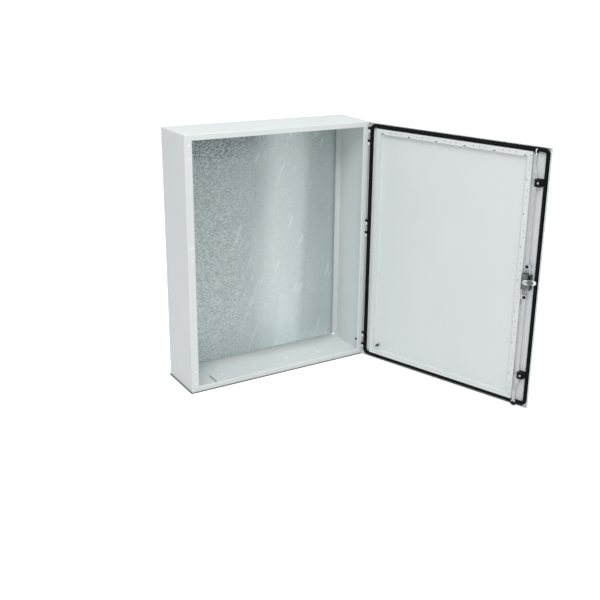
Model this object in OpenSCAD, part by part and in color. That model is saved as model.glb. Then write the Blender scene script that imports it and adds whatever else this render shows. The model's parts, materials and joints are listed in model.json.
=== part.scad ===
// Wall-mounting sheet-steel enclosure with a hinged door and a three-point rod lock.
// The front is towards -Y, +Z is up, and the origin is in the middle of the body's base. Millimetres.

/* [Body] */
// Width of the body
body_w = 800; // [600:10:1000]
// Height of the body
body_h = 1000; // [800:10:1200]
// Depth of the body without its door
body_d = 210; // [150:5:300]
// Thickness of the folded sheet
sheet = 1.5; // [1.2:0.1:2]
// Outer radius of the folds
fold_r = 3; // [2.5:0.1:3.5]
// Width of the front flange at the left and right
side_flange = 30; // [28:0.5:33]
// Width of the front flange at the top and bottom
end_flange = 22; // [22:0.5:30]
// Depth of the flange's return lip at the left and right
side_lip_d = 6; // [4:0.5:8]
// Depth of the flange's return lip at the top and bottom
end_lip_d = 6; // [4:0.5:8]

/* [Wall fixing] */
// Diameter of the wall holes in the rear panel
wall_hole_d = 9; // [6:0.5:12]
// Distance of the wall holes from the body's edges
wall_hole_edge = 20; // [16:1:24]

/* [Mounting plate] */
// Width left beside the mounting plate on each side
plate_side_room = 36; // [28:1:60]
// Height left above and below the mounting plate
plate_end_room = 30; // [28:1:60]
// Thickness of the mounting plate
plate_t = 2.5; // [2:0.5:4]
// Depth of the folded edges of the mounting plate
plate_fold = 9; // [5:1:11]
// Distance from the rear panel to the back of the mounting plate
plate_standoff = 12; // [12:1:30]
// Distance of the plate's studs from its edges
plate_stud_edge = 19; // [17:1:40]
// Diameter of the plate's studs
plate_stud_d = 8; // [6:1:10]

/* [Gland plate] */
// Width of the cable opening in the floor
gland_w = 520; // [300:10:540]
// Depth of the cable opening in the floor
gland_d = 70; // [50:1:72]
// Width of the rim that the gland plate rests on
gland_rim = 16; // [14:1:20]
// Thickness of the gland plate's seal
gland_seal_t = 3; // [2:0.5:4]
// Distance from the body's front to the gland plate
gland_front = 6.5; // [5:0.5:12]

/* [Door] */
// Angle of the open door at rest
door_angle = 108; // [0:1:118]
// Depth of the door's folded edge
door_d = 12; // [12:0.5:16]
// Gap between the door's folded edge and the flange
door_gap = 3; // [2.5:0.5:4]
// Distance of the door's edge inside the body's outline
door_inset = 1.5; // [1:0.1:1.8]
// Width of the foamed seal
seal_w = 13; // [10:0.5:13]
// Distance of the seal from the door's three free edges
seal_edge = 6; // [5:0.5:7.5]
// Distance of the seal from the door's hinge edge
seal_hinge_edge = 10.5; // [10.5:0.1:11]
// Outer corner radius of the seal
seal_corner = 22; // [16:1:30]

/* [Door frame] */
// Width of a frame strip
strip_w = 19; // [16:1:24]
// Height of the frame strips above the door's inside
strip_n = 13; // [11:0.5:13]
// Distance of the hinge-side strip from the door's edge
strip_hinge_edge = 46; // [40:1:50]
// Distance of the lock-side strip from the door's edge
strip_lock_edge = 68; // [67:1:80]
// Distance of the top and bottom strips from the door's edge
strip_end_edge = 21; // [21:1:40]
// Pitch of the small holes in the frame strips
hole_pitch = 25; // [20:1:30]
// Diameter of the small holes
hole_d = 4.5; // [3.5:0.5:8]
// Diameter of the half-round notches
notch_d = 11; // [8:0.5:12]

/* [Hinges] */
// Distance of the end hinges from the body's top and bottom
hinge_end = 62; // [58:1:120]
// Height of the middle hinge above the door's middle
hinge_rise = 58; // [0:1:80]
// Distance of the hinge axis inside the body's outline
hinge_edge = 7.4; // [7.4:0.1:7.6]
// Distance of the hinge axis ahead of the flange
hinge_ahead = 8; // [7.9:0.1:8.2]
// Radius of a hinge knuckle
knuckle_r = 4.2; // [3.5:0.1:4.2]
// Radius of a hinge pin
pin_r = 2; // [1.5:0.1:2.5]
// Distance between a hinge's two lugs
hinge_pitch = 50; // [44:1:60]
// Distance of the hinge screws and of the plugs from the body's outline
hinge_screw_edge = 17; // [16:0.5:18]
// Diameter of the plugged holes in the left flange
flange_hole_d = 10; // [8:0.5:10]

/* [Lock] */
// Distance of the lock from the door's free edge
lock_edge = 48; // [48:0.5:49]
// Width of the escutcheon
escutcheon_w = 34; // [30:1:40]
// Height of the escutcheon
escutcheon_h = 59; // [56:1:70]
// Height of the escutcheon above the door
escutcheon_t = 4; // [3:0.5:6]
// Height of the lock case along the door
case_h = 60; // [60:1:61]
// Module of the lock's teeth
gear_m = 1.25; // [1.2:0.01:1.26]
// Number of teeth on the lock's pinion
gear_teeth = 16; // [16]
// Radius of the lock's spindle
spindle_r = 8; // [7:0.1:8]
// Reach of the lock's cam from its axis
cam_reach = 44; // [28:0.5:45]
// Width of the lock's cam
cam_w = 17; // [12:0.5:18]
// Angle of the cam above the level when locked
cam_tilt = 8; // [0:1:10]

/* [Lock rods] */
// Width of a lock rod
rod_w = 12; // [10:0.5:12]
// Thickness of a lock rod
rod_t = 4; // [3:0.5:4]
// Radius of a rod's roller
roller_r = 8; // [7:0.1:8]
// Width of a roller
roller_w = 12; // [8:0.5:13]
// Distance of the rod guides from the door's top and bottom
guide_end = 128; // [125:1:200]

/* [Hidden] */
$fn = 64;

// Clearances
fit = 0.05;
running_gap = 0.3;
cut = 1;

// Colours
paint = [0.86, 0.88, 0.88];
zinc = [0.72, 0.74, 0.76];
steel = [0.6, 0.62, 0.64];
black = [0.08, 0.09, 0.09];
white = [0.95, 0.95, 0.94];

// Planes of the body and of the closed door
front_y = -body_d / 2;
back_y = body_d / 2;
rear_y = back_y - sheet;
opening_x = body_w / 2 - side_flange;
opening_z0 = end_flange;
opening_z1 = body_h - end_flange;
opening_h = opening_z1 - opening_z0;
rim_y = front_y - door_gap;
face_y = rim_y - door_d;
floor_y = face_y + sheet;
door_w = body_w - 2 * door_inset;
door_h = body_h - 2 * door_inset;
door_x = door_w / 2;
door_top = door_inset + door_h;

// Heights above the door's inside, called n
flange_n = front_y - floor_y;
seal_n = flange_n - running_gap;
hinge_n = flange_n - hinge_ahead;
hinge_x = body_w / 2 - hinge_edge;
hinge_y = front_y - hinge_ahead;

// Mounting plate
plate_w = body_w - 2 * plate_side_room;
plate_h = body_h - 2 * plate_end_room;
plate_y1 = rear_y - plate_standoff;
plate_y0 = plate_y1 - plate_t;
plate_corner_r = 8;
plate_stud_x = plate_w / 2 - plate_stud_edge;
plate_stud_z = [plate_end_room + plate_stud_edge, body_h - plate_end_room - plate_stud_edge];
plate_nut_t = 6.5;
plate_stud_tip = 4;
stud_collar_r = plate_stud_d * 0.95;
nut_flange_t = 1.5;
nut_size = 1.85;

// Gland plate
gland_y = front_y + gland_front + gland_rim + gland_d / 2;
gland_plate_t = sheet;
gland_seal_z1 = sheet + gland_seal_t;
gland_plate_z1 = gland_seal_z1 + gland_plate_t;
gland_screw_r = 3;
gland_screw_end = 40;
gland_screw_xs = [for (i = [0:3]) (i / 3 - 0.5) * (gland_w + gland_rim - 2 * gland_screw_end)];

// Hinges
hinge_zs = [hinge_end, body_h / 2 + hinge_rise, body_h - hinge_end];
lug_zs = [for (z = hinge_zs, s = [-0.5, 0.5]) z + s * hinge_pitch];
hinge_screw_x = body_w / 2 - hinge_screw_edge;
lug_h = 11.5;
knuckle_h = 10;
knuckle_rise = (lug_h + knuckle_h) / 2 + running_gap;
bracket_t = 3;
bracket_w = 20;
bracket_end = 9;
bracket_h = hinge_pitch + knuckle_h + 2 * bracket_end;
bracket_screw_z = hinge_pitch / 4;
arm_left = 3;
arm_right = 1.2;
slot_room = 0.5;
arm_w = arm_left + arm_right;
arm_l = hinge_ahead + sheet + bracket_t;
slot_h = knuckle_h + 2 * slot_room;
hinge_screw_r = 3;
hinge_screw_l = 9;
hinge_nut_t = 4.5;
pin_head_t = 1.5;
pin_head_r = pin_r + 1.2;
flange_hole_r = flange_hole_d / 2;

// Frame strips
strip_t = 1.5;
notch_pitch = 5 * hole_pitch;
notch_cut_n = 6;
strip_x0 = -door_x + strip_lock_edge + strip_w;
strip_x1 = door_x - strip_hinge_edge - strip_w;
strip_side_l = door_h - 2 * strip_end_edge;
strip_end_l = strip_x1 - strip_x0;

// Lock levels
lock_x = -door_x + lock_edge;
lock_z = body_h / 2;
gear_n = 15;
rack_t = 5.4;
rack_n0 = gear_n - rack_t / 2;
channel_n = rack_n0 - running_gap;
cover_n = gear_n + rack_t / 2 + running_gap;
cover_t = 1.5;
cover_top_n = cover_n + cover_t;

// Rack and pinion
pinion_r = gear_m * gear_teeth / 2;
pressure_angle = 20;
tooth_pitch = PI * gear_m;
tooth_addendum = 0.8 * gear_m;
tooth_dedendum = 1.25 * gear_m;
backlash = 0.25;
tooth_half = tooth_pitch / 4 - backlash / 2;
base_r = pinion_r * cos(pressure_angle);
rod_travel = pinion_r * PI / 2;
rack_back = 4;
rack_root_x = pinion_r + tooth_dedendum;
rack_back_x = rack_root_x + rack_back;
rack_tail = 7;
rack_tooth_count = ceil((rod_travel + 2 * tooth_pitch) / tooth_pitch);
head_s0 = case_h / 2 + rod_travel + 4.3;
head_l = 18;
head_half_w = rod_w / 2 + 2;
head_half_n = rod_t / 2 + 2.5;
rivet_r = 2.5;
rivet_s = head_s0 + head_l / 2;
rivet_head_t = 1.2;
rivet_head_r = 6.5;

// Cam
cam_room = 1.5;
cam_n = max(gear_n + head_half_n + rivet_head_t + running_gap, flange_n + side_lip_d + cam_room);
cam_t = 4;
cam_stop_x = 9.5;
cam_stop_w = 8;
cam_stop_l = 17;
cam_stop_room = 0.8;
cam_stop_s = cam_w / 2 / cos(cam_tilt) + (cam_stop_x + cam_stop_w) * tan(cam_tilt) + cam_stop_room;
stop_peg_r = 1.5;

// Lock case
case_wall = 2.1;
case_inner = rack_back_x + running_gap;
case_w = 2 * (case_inner + case_wall);
post_r = 3;
post_x = 9;
post_s = case_h / 2 - 3.5;
case_screw_s = 20;
case_screw_r = 2;
case_screw_head_r = 3.5;
case_screw_head_t = 3;
boss_r = 3.2;
boss_n = 5.5;
hub_r = 6;
square_w = 8;
cam_screw_r = 2.5;
cam_screw_depth = 14;
cam_screw_head_t = 3.5;

// Rods and rollers
roller_play = 1;
roller_room = 1.5;
roller_n = flange_n + end_lip_d + roller_play + roller_r;
roller_s = opening_z1 - lock_z - roller_room - roller_r + rod_travel;
axle_r = 2;
fork_wall = 1.5;
fork_base = 4;
fork_half_w = roller_w / 2 + running_gap + fork_wall;
fork_s0 = roller_s - roller_r - roller_play - fork_base;
fork_half_n = 3.5;

// Rod guides
guide_out = 18.5;
guide_foot = lock_edge - seal_edge - seal_w - 1;
guide_foot_n = flange_n - 1.5;
guide_over = 1;
guide_in = rod_w / 2 + running_gap + 2;
guide_h = 28;
guide_chamfer = 4;
guide_wall = 3;
guide_slot = rod_t / 2 + running_gap;
guide_n = gear_n + guide_slot + guide_wall;
guide_screw_x = -13;
guide_screw_r = 2.5;
guide_screw_head_t = 2;
guide_zs = [door_inset + guide_end, door_top - guide_end];
bend_s0 = guide_zs[1] - lock_z + guide_h / 2 + rod_travel + 5;
bend_s1 = bend_s0 + 2 * (roller_n - gear_n);

// Earth studs
earth_r = 4;
earth_l = 22;
earth_nut_t = 6.5;
earth_room = 22;
earth_rise = 36;
door_earth_x = strip_x1 - earth_room;
door_earth_z = door_inset + strip_end_edge + strip_w + earth_room;
body_earth_y = front_y + side_lip_d + earth_room;
body_earth_z = opening_z0 + earth_rise;

// Plain helpers

module rounded_rect(w, h, r) {
    square([w - 2 * r, h], center = true);
    square([w, h - 2 * r], center = true);
    for (x = [-1, 1], y = [-1, 1])
        translate([x * (w / 2 - r), y * (h / 2 - r)])
            circle(r);
}

module front_rounded(w, d, r) {
    translate([-w / 2, r])
        square([w, d - r]);
    translate([-w / 2 + r, 0])
        square([w - 2 * r, r]);
    for (x = [-1, 1])
        translate([x * (w / 2 - r), r])
            circle(r);
}

module along_y(y0, y1) {
    translate([0, y1, 0])
        rotate([90, 0, 0])
            linear_extrude(y1 - y0)
                children();
}

module along_x(x0, x1) {
    translate([x0, 0, 0])
        rotate([90, 0, 90])
            linear_extrude(x1 - x0)
                children();
}

// Block with folded edges round its front
module folded_block(w, h, z0, y0, y1) {
    intersection() {
        along_y(y0, y1)
            translate([0, z0 + h / 2])
                rounded_rect(w, h, fold_r);
        translate([0, y0, z0])
            linear_extrude(h)
                front_rounded(w, y1 - y0, fold_r);
        along_x(-w / 2, w / 2)
            translate([y0, z0 + h / 2])
                mirror([1, -1])
                    front_rounded(h, y1 - y0, fold_r);
    }
}

// Turns the closed door's pieces to the angle of the open door
module hung() {
    translate([hinge_x, hinge_y, 0])
        rotate(door_angle)
            translate([-hinge_x, -hinge_y, 0])
                children();
}

// Local x along the door, y up and z from the door's inside towards the body
module on_floor() {
    hung()
        translate([0, floor_y, 0])
            mirror([0, 1, -1])
                children();
}

module at_lock() {
    on_floor()
        translate([lock_x, lock_z, 0])
            children();
}

module hex_nut(r, t) {
    difference() {
        union() {
            cylinder(h = t, r = r * nut_size, $fn = 6);
            cylinder(h = nut_flange_t, r = r * 2.1);
        }
        translate([0, 0, -cut])
            cylinder(h = t + 2 * cut, r = r + fit);
    }
}

// Body

module lip_profile(depth) {
    intersection() {
        translate([fold_r, fold_r])
            difference() {
                circle(fold_r);
                circle(fold_r - sheet);
            }
        square(fold_r);
    }
    translate([0, fold_r])
        square([sheet, depth - fold_r]);
}

module flange_lips() {
    for (side = [0, 1])
        mirror([side, 0, 0])
            translate([opening_x, front_y, opening_z0 - fold_r])
                linear_extrude(opening_h + 2 * fold_r)
                    lip_profile(side_lip_d);
    for (end = [0, 1])
        translate([0, 0, body_h / 2])
            mirror([0, 0, end])
                along_x(-opening_x - fold_r, opening_x + fold_r)
                    translate([front_y, opening_z1 - body_h / 2])
                        mirror([1, -1])
                            lip_profile(end_lip_d);
}

module gland_holes(r, z1) {
    for (x = gland_screw_xs, s = [-1, 1])
        translate([x, gland_y + s * (gland_d + gland_rim) / 2, -cut])
            cylinder(h = z1 + 2 * cut, r = r);
}

module body_shell() {
    color(paint)
        difference() {
            union() {
                difference() {
                    folded_block(body_w, body_h, 0, front_y, back_y);
                    translate([-body_w / 2 + sheet, front_y + sheet, sheet])
                        cube([body_w - 2 * sheet, body_d, body_h - 2 * sheet]);
                    translate([-opening_x - fold_r, front_y - cut, opening_z0 - fold_r])
                        cube([2 * (opening_x + fold_r), 2 * cut + sheet, opening_h + 2 * fold_r]);
                }
                flange_lips();
            }
            for (z = lug_zs) {
                translate([-hinge_screw_x, 0, z])
                    along_y(front_y - cut, front_y + sheet + cut)
                        circle(flange_hole_r);
                translate([hinge_x - arm_left - slot_room, front_y - cut, z + knuckle_rise - slot_h / 2])
                    cube([arm_w + 2 * slot_room, 2 * cut + sheet, slot_h]);
            }
            translate([-gland_w / 2, gland_y - gland_d / 2, -cut])
                cube([gland_w, gland_d, sheet + 2 * cut]);
            gland_holes(gland_screw_r + fit, sheet);
        }
}

module rear_panel() {
    color(paint)
        difference() {
            along_y(rear_y, back_y)
                translate([0, body_h / 2])
                    square([body_w - 2 * sheet, body_h - 2 * sheet], center = true);
            for (x = [-1, 1], z = [wall_hole_edge, body_h - wall_hole_edge])
                translate([x * (body_w / 2 - wall_hole_edge), 0, z])
                    along_y(rear_y - cut, back_y + cut)
                        circle(d = wall_hole_d);
        }
}

module mounting_plate() {
    color(zinc)
        difference() {
            union() {
                along_y(plate_y0, plate_y1)
                    translate([0, body_h / 2])
                        rounded_rect(plate_w, plate_h, plate_corner_r);
                for (x = [-1, 1])
                    translate([x * (plate_w / 2 - plate_t / 2), 0, body_h / 2])
                        along_y(plate_y0 + plate_t / 2, plate_y1 + plate_fold)
                            square([plate_t, plate_h - 4 * plate_stud_edge], center = true);
            }
            for (x = [-1, 1], z = plate_stud_z)
                translate([x * plate_stud_x, 0, z])
                    along_y(plate_y0 - cut, plate_y1 + cut)
                        circle(plate_stud_d / 2 + 0.5);
        }
}

module plate_studs() {
    color(steel)
        for (x = [-1, 1], z = plate_stud_z)
            translate([x * plate_stud_x, 0, z]) {
                along_y(plate_y1, rear_y)
                    circle(stud_collar_r);
                along_y(plate_y0 - plate_nut_t - plate_stud_tip, plate_y1)
                    circle(plate_stud_d / 2);
            }
}

module plate_nuts() {
    color(steel)
        for (x = [-1, 1], z = plate_stud_z)
            translate([x * plate_stud_x, plate_y0, z])
                rotate([90, 0, 0])
                    hex_nut(plate_stud_d / 2, plate_nut_t);
}

module gland_sheet(z0, z1) {
    difference() {
        translate([0, gland_y, z0])
            linear_extrude(z1 - z0)
                rounded_rect(gland_w + 2 * gland_rim, gland_d + 2 * gland_rim, fold_r);
        gland_holes(gland_screw_r + fit, z1);
    }
}

module gland_plate() {
    color(paint)
        gland_sheet(gland_seal_z1, gland_plate_z1);
}

module gland_seal() {
    color(black)
        difference() {
            gland_sheet(sheet, gland_seal_z1);
            translate([-gland_w / 2, gland_y - gland_d / 2, 0])
                cube([gland_w, gland_d, gland_seal_z1 + cut]);
        }
}

module gland_screws() {
    color(zinc)
        for (x = gland_screw_xs, s = [-1, 1])
            translate([x, gland_y + s * (gland_d + gland_rim) / 2, 0]) {
                translate([0, 0, 0.2])
                    cylinder(h = gland_plate_z1, r = gland_screw_r);
                translate([0, 0, gland_plate_z1])
                    cylinder(h = nut_flange_t, r = gland_screw_r * 2);
                translate([0, 0, gland_plate_z1])
                    cylinder(h = 5, r = gland_screw_r * nut_size, $fn = 6);
            }
}

// Hinges on the body

module hinge_brackets() {
    plate_inner = front_y + sheet;
    color(black)
        for (z = hinge_zs)
            translate([0, 0, z + knuckle_rise])
                difference() {
                    union() {
                        along_y(plate_inner, plate_inner + bracket_t)
                            translate([hinge_x + arm_right - bracket_w / 2 + 2, 0])
                                rounded_rect(bracket_w, bracket_h, fold_r);
                        for (s = [-0.5, 0.5])
                            translate([hinge_x, hinge_y, s * hinge_pitch - knuckle_h / 2]) {
                                translate([-arm_left, 0, 0])
                                    cube([arm_w, arm_l, knuckle_h]);
                                cylinder(h = knuckle_h, r = knuckle_r);
                            }
                    }
                    translate([hinge_x, hinge_y, -bracket_h])
                        cylinder(h = 2 * bracket_h, r = pin_r + fit);
                    for (s = [-1, 1])
                        translate([hinge_screw_x, 0, s * bracket_screw_z])
                            along_y(plate_inner - cut, plate_inner + bracket_t + cut)
                                circle(hinge_screw_r + fit);
                }
}

// Studs on the back of the flange, each with its nut
module hinge_screws() {
    plate_inner = front_y + sheet;
    color(zinc)
        for (z = hinge_zs, s = [-1, 1])
            translate([hinge_screw_x, 0, z + knuckle_rise + s * bracket_screw_z]) {
                along_y(plate_inner, plate_inner + hinge_screw_l)
                    circle(hinge_screw_r);
                along_y(plate_inner + bracket_t, plate_inner + bracket_t + hinge_nut_t)
                    circle(hinge_screw_r * nut_size, $fn = 6);
            }
}

module flange_plugs() {
    color(white)
        for (z = lug_zs)
            translate([-hinge_screw_x, 0, z]) {
                along_y(front_y, front_y + sheet)
                    circle(flange_hole_r - fit);
                along_y(front_y + sheet, front_y + sheet + 2)
                    circle(flange_hole_r + 1);
            }
}

// Earth connections

module body_earth() {
    translate([body_w / 2 - sheet, body_earth_y, body_earth_z])
        rotate([0, -90, 0])
            children();
}

module body_earth_stud() {
    color(steel)
        body_earth()
            cylinder(h = earth_l, r = earth_r);
}

module body_earth_nut() {
    color(steel)
        body_earth()
            translate([0, 0, earth_nut_t])
                hex_nut(earth_r, earth_nut_t);
}

module door_earth() {
    on_floor()
        translate([door_earth_x, door_earth_z, 0])
            children();
}

module door_earth_stud() {
    color(steel)
        door_earth()
            cylinder(h = earth_l, r = earth_r);
}

module door_earth_nut() {
    color(steel)
        door_earth()
            hex_nut(earth_r, earth_nut_t);
}

// Door

module door_panel() {
    notch_h = knuckle_h + 4 * slot_room;
    color(paint)
        hung()
            difference() {
                folded_block(door_w, door_h, door_inset, face_y, rim_y);
                translate([-door_x + sheet, floor_y, door_inset + sheet])
                    cube([door_w - 2 * sheet, door_d, door_h - 2 * sheet]);
                for (z = lug_zs)
                    translate([door_x - sheet - cut, floor_y, z + knuckle_rise - notch_h / 2])
                        cube([sheet + 2 * cut, door_d, notch_h]);
                translate([lock_x, 0, lock_z])
                    along_y(face_y - cut, floor_y + cut) {
                        circle(spindle_r + 2);
                        for (s = [-1, 1])
                            translate([0, s * case_screw_s])
                                circle(boss_r + running_gap);
                    }
            }
}

module seal_profile() {
    square([seal_w, seal_n - seal_w / 2]);
    translate([seal_w / 2, seal_n - seal_w / 2])
        circle(seal_w / 2);
}

module door_seal() {
    seal_xs = [door_x - seal_hinge_edge, door_x - seal_edge];
    seal_y = door_h / 2 - seal_edge;
    color(black)
        on_floor()
            translate([0, door_inset + door_h / 2, 0]) {
                for (side = [0, 1])
                    mirror([side, 0, 0])
                        translate([seal_xs[side] - seal_w, 0, 0])
                            along_y(-seal_y + seal_corner, seal_y - seal_corner)
                                seal_profile();
                for (end = [0, 1])
                    mirror([0, end, 0])
                        along_x(-seal_xs[1] + seal_corner, seal_xs[0] - seal_corner)
                            translate([seal_y - seal_w, 0])
                                seal_profile();
                for (side = [0, 1], end = [0, 1])
                    mirror([side, 0, 0])
                        mirror([0, end, 0])
                            translate([seal_xs[side] - seal_corner, seal_y - seal_corner, 0])
                                intersection() {
                                    rotate_extrude()
                                        translate([seal_corner - seal_w, 0])
                                            seal_profile();
                                    cube(2 * seal_corner);
                                }
            }
}

// Perforated strip along y, with its outer edge at x = 0 and its notched edge inside
module frame_strip(length) {
    reach = length / 2 - notch_d / 2 - 2;
    steps = ceil(length / notch_pitch);
    difference() {
        along_y(-length / 2, length / 2)
            difference() {
                square([strip_w, strip_n]);
                translate([strip_t, -cut])
                    square([strip_w - 2 * strip_t, strip_n + cut - strip_t]);
            }
        for (i = [-steps:steps]) {
            for (j = [-1:1])
                if (abs(i * notch_pitch + j * hole_pitch) < reach)
                    translate([strip_w / 2, i * notch_pitch + j * hole_pitch, strip_n - strip_t - cut])
                        cylinder(h = strip_t + 2 * cut, d = hole_d);
            if (abs((i + 0.5) * notch_pitch) < reach)
                translate([strip_w, (i + 0.5) * notch_pitch, strip_n - notch_cut_n])
                    cylinder(h = notch_cut_n + cut, d = notch_d);
        }
    }
}

module strip_hinge_side() {
    color(paint)
        on_floor()
            translate([strip_x1 + strip_w, door_inset + door_h / 2, 0])
                mirror([1, 0, 0])
                    frame_strip(strip_side_l);
}

module strip_lock_side() {
    color(paint)
        on_floor()
            translate([strip_x0 - strip_w, door_inset + door_h / 2, 0])
                frame_strip(strip_side_l);
}

module strip_top() {
    color(paint)
        on_floor()
            translate([(strip_x0 + strip_x1) / 2, door_top - strip_end_edge, 0])
                rotate(-90)
                    frame_strip(strip_end_l);
}

module strip_bottom() {
    color(paint)
        on_floor()
            translate([(strip_x0 + strip_x1) / 2, door_inset + strip_end_edge, 0])
                rotate(90)
                    frame_strip(strip_end_l);
}

module door_hinge_lugs() {
    color(zinc)
        on_floor()
            for (z = lug_zs)
                translate([hinge_x, z, 0])
                    along_y(-lug_h / 2, lug_h / 2)
                        difference() {
                            union() {
                                translate([-knuckle_r, 0])
                                    square([2 * knuckle_r, hinge_n]);
                                translate([0, hinge_n])
                                    circle(knuckle_r);
                            }
                            translate([0, hinge_n])
                                circle(pin_r + fit);
                        }
}

module hinge_pins() {
    color(zinc)
        hung()
            for (z = lug_zs)
                translate([hinge_x, hinge_y, z - lug_h / 2]) {
                    cylinder(h = lug_h + knuckle_h + 2 * running_gap, r = pin_r);
                    translate([0, 0, -pin_head_t])
                        cylinder(h = pin_head_t, r = pin_head_r);
                }
}

// Lock

module lock_escutcheon() {
    border = 3;
    panel_drop = 1.5;
    color(black)
        at_lock()
            difference() {
                union() {
                    translate([0, 0, -sheet - escutcheon_t])
                        difference() {
                            linear_extrude(escutcheon_t)
                                rounded_rect(escutcheon_w, escutcheon_h, border + 1);
                            translate([0, 0, -cut])
                                linear_extrude(panel_drop + cut)
                                    difference() {
                                        rounded_rect(escutcheon_w - 2 * border, escutcheon_h - 2 * border, 2);
                                        circle(spindle_r + 2.5);
                                    }
                        }
                    for (s = [-1, 1])
                        translate([0, s * case_screw_s, -sheet - 0.5])
                            cylinder(h = boss_n + sheet, r = boss_r);
                }
                translate([0, 0, -2 * sheet - escutcheon_t])
                    cylinder(h = escutcheon_t + 2 * sheet, r = spindle_r + fit);
                for (s = [-1, 1])
                    translate([0, s * case_screw_s, -sheet])
                        cylinder(h = boss_n + 2 * sheet, r = case_screw_r + fit);
            }
}

module lock_case() {
    color(zinc)
        at_lock()
            difference() {
                union() {
                    difference() {
                        linear_extrude(cover_n)
                            rounded_rect(case_w, case_h, 2);
                        translate([-case_inner, -case_h, channel_n])
                            cube([2 * case_inner, 2 * case_h, case_h]);
                    }
                    for (s = [-1, 1])
                        translate([s * post_x, s * post_s, channel_n - cut])
                            cylinder(h = cover_n - channel_n + cut, r = post_r);
                }
                translate([0, 0, -cut])
                    cylinder(h = case_h, r = spindle_r + fit);
                for (s = [-1, 1]) {
                    translate([0, s * case_screw_s, -cut])
                        cylinder(h = boss_n + cut + 0.2, r = boss_r + fit);
                    translate([0, s * case_screw_s, 0])
                        cylinder(h = channel_n, r = case_screw_r + fit);
                    translate([0, s * case_screw_s, channel_n - case_screw_head_t - 1])
                        cylinder(h = case_screw_head_t + 2, r = case_screw_head_r + fit);
                    translate([s * post_x, s * post_s, channel_n])
                        cylinder(h = cover_n, r = 1.5 + fit);
                }
            }
}

module case_screws() {
    seat_n = channel_n - case_screw_head_t - 1;
    color(zinc)
        at_lock()
            for (s = [-1, 1])
                translate([0, s * case_screw_s, 0]) {
                    translate([0, 0, -sheet + running_gap])
                        cylinder(h = seat_n + sheet - running_gap, r = case_screw_r);
                    translate([0, 0, seat_n])
                        cylinder(h = case_screw_head_t, r = case_screw_head_r);
                }
}

module lock_cover() {
    color(zinc)
        at_lock()
            difference() {
                translate([0, 0, cover_n])
                    linear_extrude(cover_t)
                        rounded_rect(case_w, case_h, 2);
                translate([0, 0, cover_n - cut])
                    cylinder(h = cover_t + 2 * cut, r = hub_r + running_gap);
                for (s = [-1, 1])
                    translate([s * post_x, s * post_s, cover_n - cut])
                        cylinder(h = cover_t + 2 * cut, r = 2.5 + fit);
                translate([0, 0, cover_n - cut])
                    stop_pegs(cover_t + 2 * cut, stop_peg_r + fit);
            }
}

module stop_pegs(h, r) {
    for (s = [0.25, 0.75])
        translate([-cam_stop_x - cam_stop_w / 2, cam_stop_s + s * cam_stop_l, 0])
            cylinder(h = h, r = r);
}

// Block above the cam that stops it at the locked end
module cam_stop() {
    color(black)
        at_lock() {
            translate([-cam_stop_x - cam_stop_w, cam_stop_s, cover_top_n])
                cube([cam_stop_w, cam_stop_l, cam_n + cam_t - cover_top_n]);
            translate([0, 0, cover_n + fit])
                stop_pegs(cover_t, stop_peg_r);
        }
}

module cover_screws() {
    color(steel)
        at_lock()
            for (s = [-1, 1])
                translate([s * post_x, s * post_s, 0]) {
                    translate([0, 0, channel_n + 0.5])
                        cylinder(h = cover_n - channel_n, r = 1.5);
                    translate([0, 0, cover_n])
                        cylinder(h = cover_t, r = 2.5);
                }
}

function involute(r) =
    let (angle = acos(base_r / r))
        tan(angle) * 180 / PI - angle;

// Half of a tooth's angle at a radius
function tooth_angle(r) = tooth_half / pinion_r * 180 / PI + involute(pinion_r) - involute(r);

module pinion_outline() {
    tip_r = pinion_r + tooth_addendum;
    root_r = pinion_r - tooth_dedendum;
    steps = 5;
    radii = [for (i = [0:steps]) base_r + (tip_r - base_r) * i / steps];
    half = [for (r = radii) [r, tooth_angle(r)]];
    flank = concat([[root_r - 0.5, tooth_angle(base_r)]], half);
    last = len(flank) - 1;
    points = concat(
        [for (p = flank) p[0] * [cos(p[1]), -sin(p[1])]],
        [for (i = [last:-1:0]) flank[i][0] * [cos(flank[i][1]), sin(flank[i][1])]]
    );
    circle(root_r);
    for (i = [0:gear_teeth - 1])
        rotate(i * 360 / gear_teeth)
            polygon(points);
}

module lock_spindle() {
    color(zinc)
        at_lock()
            difference() {
                union() {
                    translate([0, 0, -sheet - escutcheon_t + 0.5])
                        cylinder(h = rack_n0 + sheet + escutcheon_t - 0.5, r = spindle_r);
                    translate([0, 0, rack_n0])
                        linear_extrude(rack_t)
                            pinion_outline();
                    translate([0, 0, rack_n0])
                        cylinder(h = cam_n - rack_n0, r = hub_r);
                    translate([-square_w / 2, -square_w / 2, cam_n - cut])
                        cube([square_w, square_w, cam_t + cut - 0.2]);
                }
                translate([0, 0, -sheet - escutcheon_t])
                    linear_extrude(9)
                        difference() {
                            union() {
                                circle(4.2);
                                square([3, 12.5], center = true);
                            }
                            circle(2);
                        }
                translate([0, 0, cam_n + cam_t - cam_screw_depth])
                    cylinder(h = cam_screw_depth + cut, r = cam_screw_r + fit);
            }
}

module lock_cam() {
    color(zinc)
        at_lock()
            translate([0, 0, cam_n])
                linear_extrude(cam_t)
                    difference() {
                        rotate(-cam_tilt) {
                            circle(cam_w / 2 + 0.5);
                            translate([-cam_reach + cam_w / 2, -cam_w / 2])
                                square([cam_reach - cam_w / 2, cam_w]);
                            translate([-cam_reach + cam_w / 2, 0])
                                circle(cam_w / 2);
                        }
                        square(square_w + 2 * fit, center = true);
                    }
}

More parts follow.
